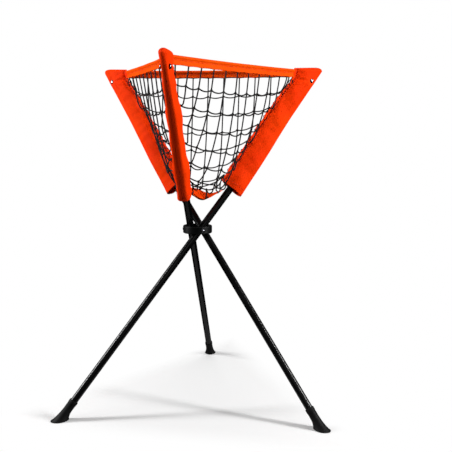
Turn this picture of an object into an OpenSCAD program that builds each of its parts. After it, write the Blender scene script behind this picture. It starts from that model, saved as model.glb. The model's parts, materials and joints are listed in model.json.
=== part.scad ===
// Folding tripod ball caddy: three straight tubes cross inside a ring, each on
// its own pivot bolt. Cloth sleeves, rim bands, nets and a cloth floor make a
// waist-high basket on the upper arms. Folding the legs closes the basket.
// The origin is on the ring's axis at ground level, +Z is up, units are mm.

/* [Stand] */
// Height of the open caddy
height = 914; // [880:1:930]
// Height of the pivot bolts above the ground
pivot_h = 476.6; // [470:0.1:485]
// Lean of each tube from the vertical when open
lean = 39.1; // [38.5:0.1:39.5]
// Distance of each tube's centre line from the ring's axis
leg_offset = 18.4; // [18.2:0.1:19]

/* [Tubes] */
// Outside diameter of each tube
tube_d = 19.05; // [18.8:0.05:19.2]
// Wall thickness of each tube
tube_wall = 1.2; // [1:0.1:1.6]
// Length of each tube below its pivot
tube_below = 600; // [590:1:602]
// Depth of the plastic plug in each upper end
plug_depth = 15; // [8:1:25]

/* [Ring and pivots] */
// Outside diameter of the ring
ring_d = 78.6; // [78:0.2:84]
// Height of the ring
ring_h = 20; // [14:0.5:21]
// Rounding of the ring's outer edges
ring_edge = 2; // [1:0.5:4]
// Diameter of the pivot bolts
bolt_d = 5; // [4:0.5:6]
// Gap between a turning tube and the washer or nut beside it
side_gap = 0.35; // [0.3:0.05:0.5]

/* [Feet] */
// Diameter of the collar that grips the tube
foot_collar_d = 23.4; // [22:0.2:26]
// Diameter of the foot at the ground, square to the tube
foot_base_d = 34; // [30:0.5:36]
// Length of tube that the foot covers
foot_grip = 48; // [35:1:60]

/* [Sleeves] */
// Distance from the pivot to the sleeve's lower hem
sleeve_start = 144; // [140:1:160]
// Outside diameter of the sleeve where it wraps the tube
sleeve_d = 22.5; // [22:0.1:24]
// Thickness of the sleeve's flat flap
flap_thick = 3; // [2:0.1:4]
// Distance from the pivot to the rivet through the sleeve
rivet_at = 520; // [500:1:535]
// Diameter of the rivet's shank
rivet_d = 4.8; // [4:0.1:5]

/* [Basket] */
// Height of each cloth rim band
band_h = 23; // [16:1:23]
// Thickness of each cloth rim band
band_thick = 2.4; // [2:0.1:3]
// Lowest edge of the rim bands above the ground
band_z = 889; // [880:1:889]
// Pitch of the square net
mesh_pitch = 44.5; // [40:0.5:50]
// Diameter of the net's cord
cord_d = 2.2; // [2:0.1:2.6]
// Height of the cloth floor above the ground
floor_z = 572; // [568:1:578]
// Thickness of the cloth floor
floor_thick = 2.4; // [2:0.1:3]

/* [Hidden] */
$fn = 64;
big = 400;
// Direction of each tube's pivot bolt from the ring's axis: a, b, c
bolt_dirs = [180, 60, 300];
// Direction that each side of the basket faces: ab, bc, ca
panel_dirs = [210, 90, 330];

// Tube and sleeve sizes worked out from the driving ones
tube_r = tube_d / 2;
bore_r = tube_r - tube_wall;
sleeve_r = sleeve_d / 2;
cap_thick = 3;
plug_flange = 2;
sleeve_end = (height - pivot_h - sleeve_r * sin(lean)) / cos(lean);
plug_top = sleeve_end - cap_thick;
tube_above = plug_top - plug_flange - 0.2;

// Ring sizes: flats beside the washers, arcs between them
washer_r = 7;
washer_thick = 1.1;
washer_in = leg_offset + tube_r + side_gap;
flat_dist = washer_in + washer_thick;
arc_r = ring_d / 2 - 4.8;
bolt_r = bolt_d / 2;
head_seat = ring_d / 2 - 0.9;
head_r = 4.8;
head_h = 2.8;
nut_out = leg_offset - tube_r - side_gap;
nut_h = 4.3;
nut_flats = 8;
bolt_end = nut_out - nut_h - 1.1;

// Basket sizes
hem_out = 34;
hem_in = 37;
// Where the rim bands meet a sleeve, from the ring's axis along the tube's plane
seam_t = 275;
seam_low_z = band_z + 3 - pivot_h;
seam_top_z = band_z + band_h + 1 - pivot_h;
rim_turn = atan(leg_offset / seam_t);
rim_r = seam_t / cos(rim_turn);
rim_gap = 5;
floor_tip_t = 56;
floor_turn = atan(leg_offset / floor_tip_t);
floor_tip_r = floor_tip_t / cos(floor_turn);
net_top_z = band_z - 0.3;
net_low_z = floor_z + 8;
net_low_in = floor_tip_r / 2 + 3;
net_top_in = rim_r / 2 - 1;
net_lean = atan((net_top_in - net_low_in) / (net_top_z - net_low_z));
net_len = (net_top_z - net_low_z) / cos(net_lean);
net_edge_gap = 7;
// The low left corner lies beside the tube, so it stands clear of the sleeve round it
net_corner_gap = 26;
// A net's side edges: where its sheet would meet the two legs' planes, less the gap
net_low_left = net_corner_gap - (net_low_in * cos(30 + rim_turn) + leg_offset) / sin(30 + rim_turn);
net_low_right = (net_low_in * cos(30 - rim_turn) - leg_offset) / sin(30 - rim_turn) - net_edge_gap;
net_top_left = net_edge_gap - (net_top_in * cos(30 + rim_turn) + leg_offset) / sin(30 + rim_turn);
net_top_right = (net_top_in * cos(30 - rim_turn) - leg_offset) / sin(30 - rim_turn) - net_edge_gap;

// Point in a tube's upright plane, s along the tube and q square to it, outward positive
function leg_pt(s, q) = [s * sin(lean) + q * cos(lean), s * cos(lean) - q * sin(lean)];

// Local frame of a leg: X along its bolt, Y towards its upper arm, Z up, origin at the pivot
module at_leg(i) {
  rotate([0, 0, bolt_dirs[i]]) translate([leg_offset, 0, pivot_h]) children();
}

// Local frame of a tube: X along its bolt, Z along the tube
module along_leg(i) {
  at_leg(i) rotate([-lean, 0, 0]) children();
}

// Cylinder along X, from one distance to another
module cross_pin(from, to, r) {
  translate([from, 0, 0]) rotate([0, 90, 0]) cylinder(h = to - from, r = r);
}

// Domed head standing along Z on its flat side
module dome(r, h) {
  ball = (r * r + h * h) / (2 * h);
  intersection() {
    translate([0, 0, h - ball]) sphere(ball);
    cylinder(h = h, r = r);
  }
}

module ring_void() {
  intersection() {
    circle(arc_r);
    intersection_for(a = bolt_dirs) {
      rotate(a) translate([flat_dist - 2 * big, -big]) square(2 * big);
    }
  }
}

module ring_body() {
  rotate_extrude() {
    translate([10, -ring_h / 2]) square([ring_d / 2 - 10 - ring_edge, ring_h]);
    translate([10, -ring_h / 2 + ring_edge]) square([ring_d / 2 - 10, ring_h - 2 * ring_edge]);
    for (z = [-1, 1]) translate([ring_d / 2 - ring_edge, z * (ring_h / 2 - ring_edge)]) circle(ring_edge);
  }
}

module hub_ring() {
  color([0.03, 0.03, 0.03]) translate([0, 0, pivot_h]) difference() {
    ring_body();
    translate([0, 0, -ring_h]) linear_extrude(2 * ring_h) ring_void();
    for (a = bolt_dirs) rotate([0, 0, a]) {
      cross_pin(20, ring_d, bolt_r + 0.05);
      cross_pin(head_seat, ring_d, head_r + 0.4);
    }
  }
}

module pivot_bolt(i) {
  color([0.75, 0.75, 0.77]) rotate([0, 0, bolt_dirs[i]]) translate([0, 0, pivot_h]) {
    cross_pin(bolt_end, head_seat, bolt_r);
    translate([head_seat, 0, 0]) rotate([0, 90, 0]) dome(head_r, head_h);
  }
}

module pivot_washers() {
  color([0.85, 0.85, 0.82]) translate([0, 0, pivot_h]) for (a = bolt_dirs) rotate([0, 0, a]) difference() {
    cross_pin(washer_in, flat_dist, washer_r);
    cross_pin(washer_in - 1, flat_dist + 1, bolt_r + 0.1);
  }
}

module pivot_nuts() {
  color([0.7, 0.7, 0.72]) translate([0, 0, pivot_h]) for (a = bolt_dirs) rotate([0, 0, a]) difference() {
    translate([nut_out - nut_h, 0, 0]) rotate([0, 90, 0]) cylinder(h = nut_h, d = nut_flats / cos(30), $fn = 6);
    cross_pin(0, nut_out + 1, bolt_r + 0.02);
  }
}

module leg_tube(i) {
  color([0.02, 0.02, 0.02]) along_leg(i) difference() {
    translate([0, 0, -tube_below]) cylinder(h = tube_below + tube_above, r = tube_r);
    translate([0, 0, -tube_below - 1]) cylinder(h = tube_below + tube_above + 2, r = bore_r);
    cross_pin(-tube_d, tube_d, bolt_r + 0.08);
    translate([0, 0, rivet_at]) cross_pin(-tube_d, tube_d, rivet_d / 2 + 0.05);
  }
}

module tube_plug(i) {
  color([0.05, 0.05, 0.05]) along_leg(i) {
    translate([0, 0, tube_above - plug_depth]) cylinder(h = plug_depth, r = bore_r - 0.05);
    translate([0, 0, tube_above]) cylinder(h = plug_flange, r = tube_r - 0.2);
  }
}

// Rubber foot: a collar that flares with a concave curve, cut flat at the ground
module foot(i) {
  flare = (foot_base_d - foot_collar_d) / 2;
  flare_h = 3 * flare;
  curve = (flare * flare + flare_h * flare_h) / (2 * flare);
  shoulder = -tube_below - 6;
  top = -tube_below + foot_grip;
  color([0.04, 0.04, 0.04]) difference() {
    along_leg(i) difference() {
      rotate_extrude() difference() {
        translate([0, shoulder - big / 8]) square([foot_base_d / 2, top - shoulder + big / 8]);
        translate([foot_collar_d / 2, shoulder + flare_h]) square([big, big]);
        translate([foot_collar_d / 2 + curve, shoulder + flare_h]) circle(curve, $fn = 96);
      }
      translate([0, 0, -tube_below - 0.2]) cylinder(h = foot_grip + 1, r = tube_r + 0.03);
    }
    translate([-2 * big, -2 * big, -big]) cube([4 * big, 4 * big, big]);
  }
}

module sleeve(i) {
  outline = [
    leg_pt(sleeve_start, hem_out), leg_pt(sleeve_start, -hem_in), leg_pt(392, -48),
    [seam_t, seam_low_z], [seam_t, seam_top_z], leg_pt(sleeve_end, -sleeve_r),
    leg_pt(sleeve_end, 10), leg_pt(392, 15.5)
  ];
  color([0.95, 0.3, 0.05]) difference() {
    union() {
      at_leg(i) rotate([90, 0, 90]) linear_extrude(flap_thick, center = true) polygon(outline);
      along_leg(i) translate([0, 0, sleeve_start]) cylinder(h = sleeve_end - sleeve_start, r = sleeve_r);
    }
    along_leg(i) cylinder(h = plug_top + 0.2, r = tube_r + 0.15);
    along_leg(i) translate([0, 0, rivet_at]) cross_pin(-tube_d, tube_d, rivet_d / 2 + 0.05);
  }
}

module sleeve_rivet(i) {
  head_out = sleeve_r + 0.1;
  color([0.8, 0.8, 0.82]) along_leg(i) translate([0, 0, rivet_at]) {
    cross_pin(-head_out, head_out, rivet_d / 2);
    for (side = [90, -90]) rotate([0, side, 0]) translate([0, 0, head_out]) dome(5, 2.4);
  }
}

// Local frame of a basket side: X outward, Y along the side, turned to meet the sleeves
module at_panel(i) {
  rotate([0, 0, panel_dirs[i] - rim_turn]) children();
}

module rim_band(i) {
  band_len = rim_r * sqrt(3) - 2 * rim_gap;
  color([1, 0.4, 0.1]) at_panel(i) translate([rim_r / 2 - band_thick / 2, -band_len / 2, band_z]) {
    cube([band_thick, band_len, band_h]);
  }
}

// Point on a side edge of a net at a height, taken in by a margin
function net_side(low, top, height, inset) =
  let(slope = (top - low) / net_len, inward = top > 0 ? -inset : inset)
  [low + slope * height + inward * sqrt(1 + slope * slope), height];

// Outline of a net panel, taken in by a margin
module net_outline(inset) {
  upper = net_len - inset;
  polygon([
    net_side(net_low_left, net_top_left, inset, inset), net_side(net_low_right, net_top_right, inset, inset),
    net_side(net_low_right, net_top_right, upper, inset), net_side(net_low_left, net_top_left, upper, inset)
  ]);
}

// Square lattice of cord inside a border cord, knots on the band's lower edge
module net_lattice() {
  columns = floor(net_top_right / mesh_pitch) + 1;
  rows = ceil(net_len / mesh_pitch);
  hole = mesh_pitch - cord_d;
  difference() {
    net_outline(0);
    intersection() {
      net_outline(cord_d);
      for (c = [-columns:columns - 1], r = [0:rows]) {
        translate([c * mesh_pitch + cord_d / 2, net_len - r * mesh_pitch - hole - cord_d / 2]) square(hole);
      }
    }
  }
}

module net(i) {
  color([0.04, 0.04, 0.04]) at_panel(i) translate([net_low_in, 0, net_low_z]) {
    rotate([0, net_lean, 0]) rotate([90, 0, 90]) linear_extrude(cord_d, center = true) net_lattice();
  }
}

// Cloth floor: a triangle with hollowed sides, one tip beside each tube
module basket_floor() {
  side = floor_tip_r * sqrt(3);
  hollow = 10;
  curve = (side * side / 4 + hollow * hollow) / (2 * hollow);
  color([0.95, 0.28, 0.04]) translate([0, 0, floor_z]) linear_extrude(floor_thick) difference() {
    polygon([for (a = bolt_dirs) floor_tip_r * [cos(a + 90 - floor_turn), sin(a + 90 - floor_turn)]]);
    for (a = panel_dirs) {
      rotate(a - floor_turn) translate([floor_tip_r / 2 + curve - hollow, 0]) circle(curve, $fn = 128);
    }
  }
}

hub_ring();
pivot_bolt(0);  // pivot_bolt_a
pivot_bolt(1);  // pivot_bolt_b
pivot_bolt(2);  // pivot_bolt_c
pivot_washers();
pivot_nuts();
leg_tube(0);  // leg_tube_a
leg_tube(1);  // leg_tube_b
leg_tube(2);  // leg_tube_c
foot(0);  // foot_a
foot(1);  // foot_b
foot(2);  // foot_c
tube_plug(0);  // tube_plug_a
tube_plug(1);  // tube_plug_b
tube_plug(2);  // tube_plug_c
sleeve(0);  // sleeve_a
sleeve(1);  // sleeve_b
sleeve(2);  // sleeve_c
sleeve_rivet(0);  // sleeve_rivet_a
sleeve_rivet(1);  // sleeve_rivet_b
sleeve_rivet(2);  // sleeve_rivet_c
rim_band(0);  // rim_band_ab
rim_band(1);  // rim_band_bc
rim_band(2);  // rim_band_ca
net(0);  // net_ab
net(1);  // net_bc
net(2);  // net_ca
basket_floor();
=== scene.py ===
import json
import math
import bmesh
import bpy
import numpy as np
from mathutils import Matrix


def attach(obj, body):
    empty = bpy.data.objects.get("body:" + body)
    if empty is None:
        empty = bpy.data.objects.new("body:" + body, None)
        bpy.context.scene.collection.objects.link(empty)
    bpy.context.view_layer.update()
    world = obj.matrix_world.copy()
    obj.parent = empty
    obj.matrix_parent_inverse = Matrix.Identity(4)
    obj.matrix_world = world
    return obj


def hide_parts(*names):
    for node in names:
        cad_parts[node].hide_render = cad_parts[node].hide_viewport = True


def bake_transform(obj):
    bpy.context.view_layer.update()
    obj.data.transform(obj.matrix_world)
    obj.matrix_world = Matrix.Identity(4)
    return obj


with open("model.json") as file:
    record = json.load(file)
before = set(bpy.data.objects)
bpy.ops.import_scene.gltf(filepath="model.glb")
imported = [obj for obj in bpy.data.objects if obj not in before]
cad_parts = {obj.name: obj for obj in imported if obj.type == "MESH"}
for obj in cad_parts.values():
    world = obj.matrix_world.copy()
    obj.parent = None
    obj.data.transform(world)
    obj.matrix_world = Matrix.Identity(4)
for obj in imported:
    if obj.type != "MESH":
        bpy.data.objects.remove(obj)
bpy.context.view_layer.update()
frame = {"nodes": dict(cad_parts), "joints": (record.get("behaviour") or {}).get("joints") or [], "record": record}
mm = 0.001
print("frame loaded")

# where things are, read from the frame

mounts = {m["name"]: np.array(m["pos_m"], float) for m in frame["record"]["mounts"]}
upward = np.array([0.0, 0.0, 1.0])


class Leg:
    # one tube with its own directions: across (its bolt), outward, along (up the tube), down (square to it)
    def __init__(self, key):
        joint = next(j for j in frame["joints"] if j["name"] == f"leg_{key}_fold")
        self.key = key
        self.body = joint["child"]
        self.pivot = np.array(joint["pos_m"], float)
        self.across = np.array(joint["axis"], float)
        self.outward = np.cross(upward, self.across)
        foot = mounts[f"foot_{key}_base"] - self.pivot
        self.lean = math.atan2(abs(foot @ self.outward), abs(foot[2]))
        self.along = math.sin(self.lean) * self.outward + math.cos(self.lean) * upward
        self.down = math.cos(self.lean) * self.outward - math.sin(self.lean) * upward

    # point at s along the tube, q square to it and n along the bolt, all in millimetres
    def at(self, s, q, n):
        s, q, n = (np.asarray(x, float)[..., None] * mm for x in (s, q, n))
        return self.pivot + s * self.along + q * self.down + n * self.across

    # point at t outward, z above the pivot and n along the bolt, all in millimetres
    def upright(self, t, z, n):
        t, z, n = (np.asarray(x, float)[..., None] * mm for x in (t, z, n))
        return self.pivot + t * self.outward + z * upward + n * self.across


legs = {key: Leg(key) for key in "abc"}
panels = [("ab", "a", "b"), ("bc", "b", "c"), ("ca", "c", "a")]

# mesh helpers


def smoothStep(x):
    x = np.clip(x, 0, 1)
    return x * x * (3 - 2 * x)


def unit(v):
    return v / np.maximum(np.linalg.norm(v, axis=-1, keepdims=True), 1e-12)


# smooth curve through given points: a cubic on each span whose slopes are the neighbours' differences
def through(x, xs, ys):
    x, xs, ys = np.asarray(x, float), np.asarray(xs, float), np.asarray(ys, float)
    slopes = np.gradient(ys, xs)
    k = np.clip(np.searchsorted(xs, x) - 1, 0, len(xs) - 2)
    h = xs[k + 1] - xs[k]
    t = np.clip((x - xs[k]) / h, 0, 1)
    a, b = ys[k], ys[k + 1]
    return (a * (1 + 2 * t) * (1 - t) ** 2 + b * t * t * (3 - 2 * t)
            + h * (slopes[k] * t * (1 - t) ** 2 - slopes[k + 1] * t * t * (1 - t)))


# a grid of points as one part: its points, its four-sided faces and its uv, row by row
def gridPart(points, uv):
    rows, cols = points.shape[:2]
    k = np.arange(rows * cols).reshape(rows, cols)
    quads = np.stack([k[:-1, :-1], k[:-1, 1:], k[1:, 1:], k[1:, :-1]], axis=-1).reshape(-1, 4)
    return points.reshape(-1, 3), quads, np.broadcast_to(uv, (rows, cols, 2)).reshape(-1, 2)


# one object from parts: closed parts are turned outwards, and doubled points are merged
def makePiece(name, parts, closed=True, weld=1e-6):
    allPoints, allQuads, allUv, base = [], [], [], 0
    for points, quads, uv in parts:
        if closed:
            a, b, c, d = (points[quads[:, i]] for i in range(4))
            volume = (a * np.cross(b, c)).sum() + (a * np.cross(c, d)).sum()
            if volume < 0:
                quads = quads[:, ::-1]
        allPoints.append(points)
        allQuads.append(quads + base)
        allUv.append(uv)
        base += len(points)
    points, quads, uv = (np.concatenate(x) for x in (allPoints, allQuads, allUv))
    mesh = bpy.data.meshes.new(name)
    mesh.from_pydata(points.tolist(), [], quads.tolist())
    layer = mesh.uv_layers.new(name="surface")
    layer.data.foreach_set("uv", uv[quads.ravel()].astype(np.float32).ravel())
    work = bmesh.new()
    work.from_mesh(mesh)
    bmesh.ops.remove_doubles(work, verts=work.verts, dist=weld)
    bmesh.ops.dissolve_degenerate(work, edges=work.edges, dist=weld)
    work.to_mesh(mesh)
    work.free()
    mesh.polygons.foreach_set("use_smooth", np.ones(len(mesh.polygons), bool))
    piece = bpy.data.objects.new(name, mesh)
    bpy.context.scene.collection.objects.link(piece)
    return piece


# a round profile carried along a path: rings square to the path, closed by a point at each end
def cordPart(path, radius, sides=7, lift=(0, 0, 1), twist=0.0):
    step = np.gradient(path, axis=0)
    tangent = unit(step)
    side = unit(np.asarray(lift, float) - (tangent @ np.asarray(lift, float))[:, None] * tangent)
    other = np.cross(tangent, side)
    length = np.concatenate([[0], np.cumsum(np.linalg.norm(np.diff(path, axis=0), axis=1))])
    around = np.linspace(0, 2 * math.pi, sides + 1)
    radius = np.broadcast_to(radius, len(path))
    rings = path[:, None] + radius[:, None, None] * (
        np.cos(around)[None, :, None] * side[:, None] + np.sin(around)[None, :, None] * other[:, None])
    rings[:, -1] = rings[:, 0]
    first, last = np.repeat(path[:1, None], sides + 1, 1), np.repeat(path[-1:, None], sides + 1, 1)
    rings = np.concatenate([first, rings, last])
    length = np.concatenate([[0], length, length[-1:]])
    uv = np.stack(np.broadcast_arrays(length[:, None] + twist, np.linspace(0, 1, sides + 1)), axis=-1)
    return gridPart(rings, uv)


# a profile of (radius, height) turned about an axis through centre
def turnedPart(profile, centre, axis, side, segments=48):
    profile = np.asarray(profile, float) * mm
    other = np.cross(axis, side)
    turn = np.linspace(0, 2 * math.pi, segments + 1)
    ring = np.cos(turn)[:, None] * side + np.sin(turn)[:, None] * other
    ring[-1] = ring[0]
    points = centre + profile[:, None, 1:2] * axis + profile[:, None, 0:1] * ring[None]
    run = np.concatenate([[0], np.cumsum(np.linalg.norm(np.diff(profile, axis=0), axis=1))])
    uv = np.stack(np.broadcast_arrays(run[:, None], turn / (2 * math.pi)), axis=-1)
    return gridPart(points, uv)


# quarter circle from one angle to another in degrees, for rounded corners of a profile
def corner(x, y, radius, fromAngle, toAngle, steps=6):
    a = np.radians(np.linspace(fromAngle, toAngle, steps))
    return [(x + radius * math.cos(k), y + radius * math.sin(k)) for k in a]


def solidify(piece, thickness, offset=-1.0):
    shell = piece.modifiers.new("wall", "SOLIDIFY")
    shell.thickness = thickness
    shell.offset = offset
    shell.use_even_offset = False


def place(piece, body, material, slotName, *nodes):
    piece.data.materials.append(material)
    if body:
        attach(piece, body)
    if nodes:
        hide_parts(*nodes)


# shader helpers


class Tree:
    # shorthand for adding linked nodes to a material or a node group
    def __init__(self, tree):
        self.tree = tree

    def add(self, kind, values=None, **settings):
        node = self.tree.nodes.new(kind)
        for name, value in settings.items():
            setattr(node, name, value)
        for socket, value in (values or {}).items():
            if isinstance(value, bpy.types.NodeSocket):
                self.tree.links.new(value, node.inputs[socket])
            else:
                node.inputs[socket].default_value = value
        return node

    def math(self, operation, a, b=0.0):
        return self.add("ShaderNodeMath", {0: a, 1: b}, operation=operation).outputs[0]

    def mix(self, factor, a, b):
        return self.add("ShaderNodeMix", {0: factor, 6: a, 7: b}, data_type="RGBA").outputs[2]

    def ramp(self, value, stops):
        node = self.add("ShaderNodeValToRGB", {0: value})
        for k, (where, shade) in enumerate(stops):
            spot = node.color_ramp.elements[k] if k < 2 else node.color_ramp.elements.new(where)
            spot.position = where
            spot.color = (shade, shade, shade, 1)
        return node.outputs[0]


def newGroup(name, inputs, outputs):
    group = bpy.data.node_groups.new(name, "ShaderNodeTree")
    for label, kind, value in inputs:
        socket = group.interface.new_socket(name=label, in_out="INPUT", socket_type=kind)
        if value is not None:
            socket.default_value = value
    for label, kind in outputs:
        group.interface.new_socket(name=label, in_out="OUTPUT", socket_type=kind)
    tree = Tree(group)
    return group, tree, tree.add("NodeGroupInput").outputs, tree.add("NodeGroupOutput")


floatKind, vectorKind = "NodeSocketFloat", "NodeSocketVector"


# plain weave: two crossing sets of threads, each a rounded wave that goes over and under the other
def weaveGroup():
    group, t, given, out = newGroup("plainWeave", [
        ("Vector", vectorKind, None), ("Threads per Metre", floatKind, 1700.0)], [("Height", floatKind)])
    spread = t.add("ShaderNodeVectorMath", {0: given["Vector"], 3: given["Threads per Metre"]},
                   operation="SCALE")
    split = t.add("ShaderNodeSeparateXYZ", {0: spread.outputs[0]})
    warp = t.math("ABSOLUTE", t.math("SINE", t.math("MULTIPLY", split.outputs[0], math.pi)))
    weft = t.math("ABSOLUTE", t.math("SINE", t.math("MULTIPLY", split.outputs[1], math.pi)))
    cells = t.add("ShaderNodeTexChecker", {"Vector": spread.outputs[0], "Scale": 1.0,
                                           "Color1": (1, 1, 1, 1), "Color2": (0, 0, 0, 1)}).outputs["Fac"]
    height = t.add("ShaderNodeMix", {0: cells, 2: warp, 3: weft}, data_type="FLOAT").outputs[0]
    t.tree.links.new(height, out.inputs[0])
    return group


# soft creases and handling marks: distorted noise for height, broad noise for shade
def handledGroup():
    group, t, given, out = newGroup("handledCloth", [
        ("Vector", vectorKind, None), ("Crease Scale", floatKind, 34.0)],
        [("Height", floatKind), ("Shade", floatKind)])
    creases = t.add("ShaderNodeTexNoise", {"Vector": given["Vector"], "Scale": given["Crease Scale"],
                                           "Detail": 5.0, "Roughness": 0.5, "Distortion": 0.7}).outputs[0]
    ridges = t.math("SUBTRACT", 1.0, t.math("ABSOLUTE", t.math("MULTIPLY_ADD", creases, 4.0)))
    broad = t.add("ShaderNodeTexNoise", {"Vector": given["Vector"], "Scale": 11.0, "Detail": 4.0}).outputs[0]
    t.tree.links.new(ridges, out.inputs[0])
    t.tree.links.new(broad, out.inputs[1])
    return group


# fine moulded or sprayed surface: small noise for height, larger noise for uneven gloss
def grainGroup():
    group, t, given, out = newGroup("surfaceGrain", [
        ("Vector", vectorKind, None), ("Grain Scale", floatKind, 900.0)],
        [("Height", floatKind), ("Smudge", floatKind)])
    grain = t.add("ShaderNodeTexNoise", {"Vector": given["Vector"], "Scale": given["Grain Scale"],
                                         "Detail": 3.0}).outputs[0]
    smudge = t.add("ShaderNodeTexNoise", {"Vector": given["Vector"], "Scale": 28.0, "Detail": 6.0,
                                          "Roughness": 0.65}).outputs[0]
    t.tree.links.new(grain, out.inputs[0])
    t.tree.links.new(smudge, out.inputs[1])
    return group


groups = {"weave": weaveGroup(), "handled": handledGroup(), "grain": grainGroup()}


def newMaterial(name, **surface):
    material = bpy.data.materials.new(name)
    material.use_nodes = True
    t = Tree(material.node_tree)
    shader = material.node_tree.nodes["Principled BSDF"]
    for socket, value in surface.items():
        shader.inputs[socket.replace("_", " ")].default_value = value
    return material, t, shader


def bumped(t, shader, height, distance, strength=1.0, under=None):
    values = {"Height": height, "Distance": distance, "Strength": strength}
    if under is not None:
        values["Normal"] = under
    t.tree.links.new(t.add("ShaderNodeBump", values).outputs[0], shader.inputs["Normal"])


# woven polyester: base colour with painted shade in the gaps between threads, and lightened where it is rubbed
def clothMaterial(name, color, worn, roughness=0.6, threads=1700.0):
    material, t, shader = newMaterial(name, Roughness=roughness, Specular_IOR_Level=0.02)
    coords = t.add("ShaderNodeTexCoord")
    weave = t.add("ShaderNodeGroup", node_tree=groups["weave"])
    t.tree.links.new(coords.outputs["UV"], weave.inputs[0])
    weave.inputs[1].default_value = threads
    handled = t.add("ShaderNodeGroup", node_tree=groups["handled"])
    t.tree.links.new(coords.outputs["Object"], handled.inputs[0])
    shade = t.ramp(handled.outputs[1], [(0.25, 0.0), (0.75, 1.0)])
    tone = t.mix(shade, color, worn)
    # painted shade: the colour drops to 0.62 of itself in the low gaps between threads, where shade would fall
    paintedGapShadeColour = tuple(c * 0.62 for c in color[:3]) + (1,)
    paintedGapShadeMask = t.ramp(weave.outputs[0], [(0.0, 1.0), (0.55, 0.0)])
    tone = t.mix(t.math("MULTIPLY", paintedGapShadeMask, 0.4), tone, paintedGapShadeColour)
    t.tree.links.new(tone, shader.inputs["Base Color"])
    gloss = t.add("ShaderNodeMapRange", {0: handled.outputs[1], 1: 0.2, 2: 0.8, 3: roughness - 0.07,
                                         4: roughness + 0.1}).outputs[0]
    t.tree.links.new(gloss, shader.inputs["Roughness"])
    folds = {"Height": handled.outputs[0], "Distance": 0.0009, "Strength": 0.35}
    soft = t.add("ShaderNodeBump", folds).outputs[0]
    bumped(t, shader, weave.outputs[0], 0.00012, 0.6, soft)
    return material


# hard surface: plain colour with fine grain, uneven gloss and paler rubbed patches
def hardMaterial(name, color, roughness, grainScale, grainDepth, rub=0.12, **surface):
    material, t, shader = newMaterial(name, Roughness=roughness, **surface)
    coords = t.add("ShaderNodeTexCoord")
    grain = t.add("ShaderNodeGroup", node_tree=groups["grain"])
    t.tree.links.new(coords.outputs["Object"], grain.inputs[0])
    grain.inputs[1].default_value = grainScale
    rubbed = tuple(min(1.0, c + rub * (0.35 + c)) for c in color[:3]) + (1,)
    patches = t.ramp(grain.outputs[1], [(0.55, 0.0), (0.8, 0.5)])
    t.tree.links.new(t.mix(patches, color, rubbed), shader.inputs["Base Color"])
    gloss = t.add("ShaderNodeMapRange", {0: grain.outputs[1], 1: 0.3, 2: 0.75, 3: max(roughness - 0.06, 0.02),
                                         4: roughness + 0.12}).outputs[0]
    t.tree.links.new(gloss, shader.inputs["Roughness"])
    bumped(t, shader, grain.outputs[0], grainDepth, 0.5)
    return material


# twisted twine: strands wind round the cord, so the pattern runs slantwise on the cord's own uv
def twineMaterial(name, color, strands=3, lay=0.006):
    material, t, shader = newMaterial(name, Roughness=0.6, Specular_IOR_Level=0.2)
    coords = t.add("ShaderNodeTexCoord")
    split = t.add("ShaderNodeSeparateXYZ", {0: coords.outputs["UV"]})
    phase = t.math("ADD", t.math("MULTIPLY", split.outputs[0], 2 * math.pi / lay),
                   t.math("MULTIPLY", split.outputs[1], 2 * math.pi * strands))
    strand = t.math("ABSOLUTE", t.math("SINE", t.math("MULTIPLY", phase, 0.5)))
    fibres = {"Vector": coords.outputs["Object"], "Scale": 700.0, "Detail": 3.0}
    fuzz = t.add("ShaderNodeTexNoise", fibres).outputs[0]
    # painted shade and fibre fuzz: the paler colour lies only on each strand's crest, varied by random fibre
    # noise, while the grooves between strands keep the base colour
    paintedCrestLightAndFuzz = tuple(c + 0.006 for c in color[:3]) + (1,)
    t.tree.links.new(t.mix(t.math("MULTIPLY", strand, fuzz), color, paintedCrestLightAndFuzz), shader.inputs["Base Color"])
    bumped(t, shader, t.math("ADD", strand, t.math("MULTIPLY", fuzz, 0.3)), 0.00025, 0.8)
    return material


looks = {
    "sleeve": clothMaterial("sleeveCloth", (0.9, 0.03, 0.0005, 1), (0.97, 0.05, 0.001, 1)),
    "band": clothMaterial("bandCloth", (0.88, 0.062, 0.001, 1), (0.94, 0.09, 0.002, 1), 0.55, 1500.0),
    "floor": clothMaterial("floorCloth", (0.84, 0.045, 0.001, 1), (0.9, 0.07, 0.002, 1)),
    "thread": hardMaterial("sewingThread", (0.55, 0.035, 0.004, 1), 0.55, 2500.0, 0.0001),
    "twine": twineMaterial("netTwine", (0.003, 0.003, 0.0035, 1)),
    "tube": hardMaterial("powderCoat", (0.001, 0.001, 0.0012, 1), 0.24, 650.0, 0.000001, 0.003,
                         Specular_IOR_Level=0.3),
    "ring": hardMaterial("mouldedNylon", (0.002, 0.0024, 0.0024, 1), 0.42, 1200.0, 0.00006, 0.006,
                         Specular_IOR_Level=0.15),
    "foot": hardMaterial("mouldedRubber", (0.0025, 0.0025, 0.0025, 1), 0.6, 800.0, 0.00012, 0.01,
                         Specular_IOR_Level=0.15),
    "plug": hardMaterial("plugPlastic", (0.012, 0.012, 0.012, 1), 0.5, 1000.0, 0.0001),
    "rivet": hardMaterial("rivetMetal", (0.2, 0.2, 0.22, 1), 0.24, 1500.0, 0.00003, 0.1, Metallic=1.0),
    "bolt": hardMaterial("zincPlate", (0.2, 0.2, 0.22, 1), 0.3, 1500.0, 0.00004, 0.1, Metallic=1.0),
    "washer": hardMaterial("washerNylon", (0.62, 0.6, 0.54, 1), 0.5, 1500.0, 0.00005),
}
print("materials made")

# camera

cameraPlace = {"at": (0.2941, -1.8446, 0.7458), "turn": 6.69, "tilt": -7.96, "roll": 0.35, "lens": 55.2}


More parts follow.
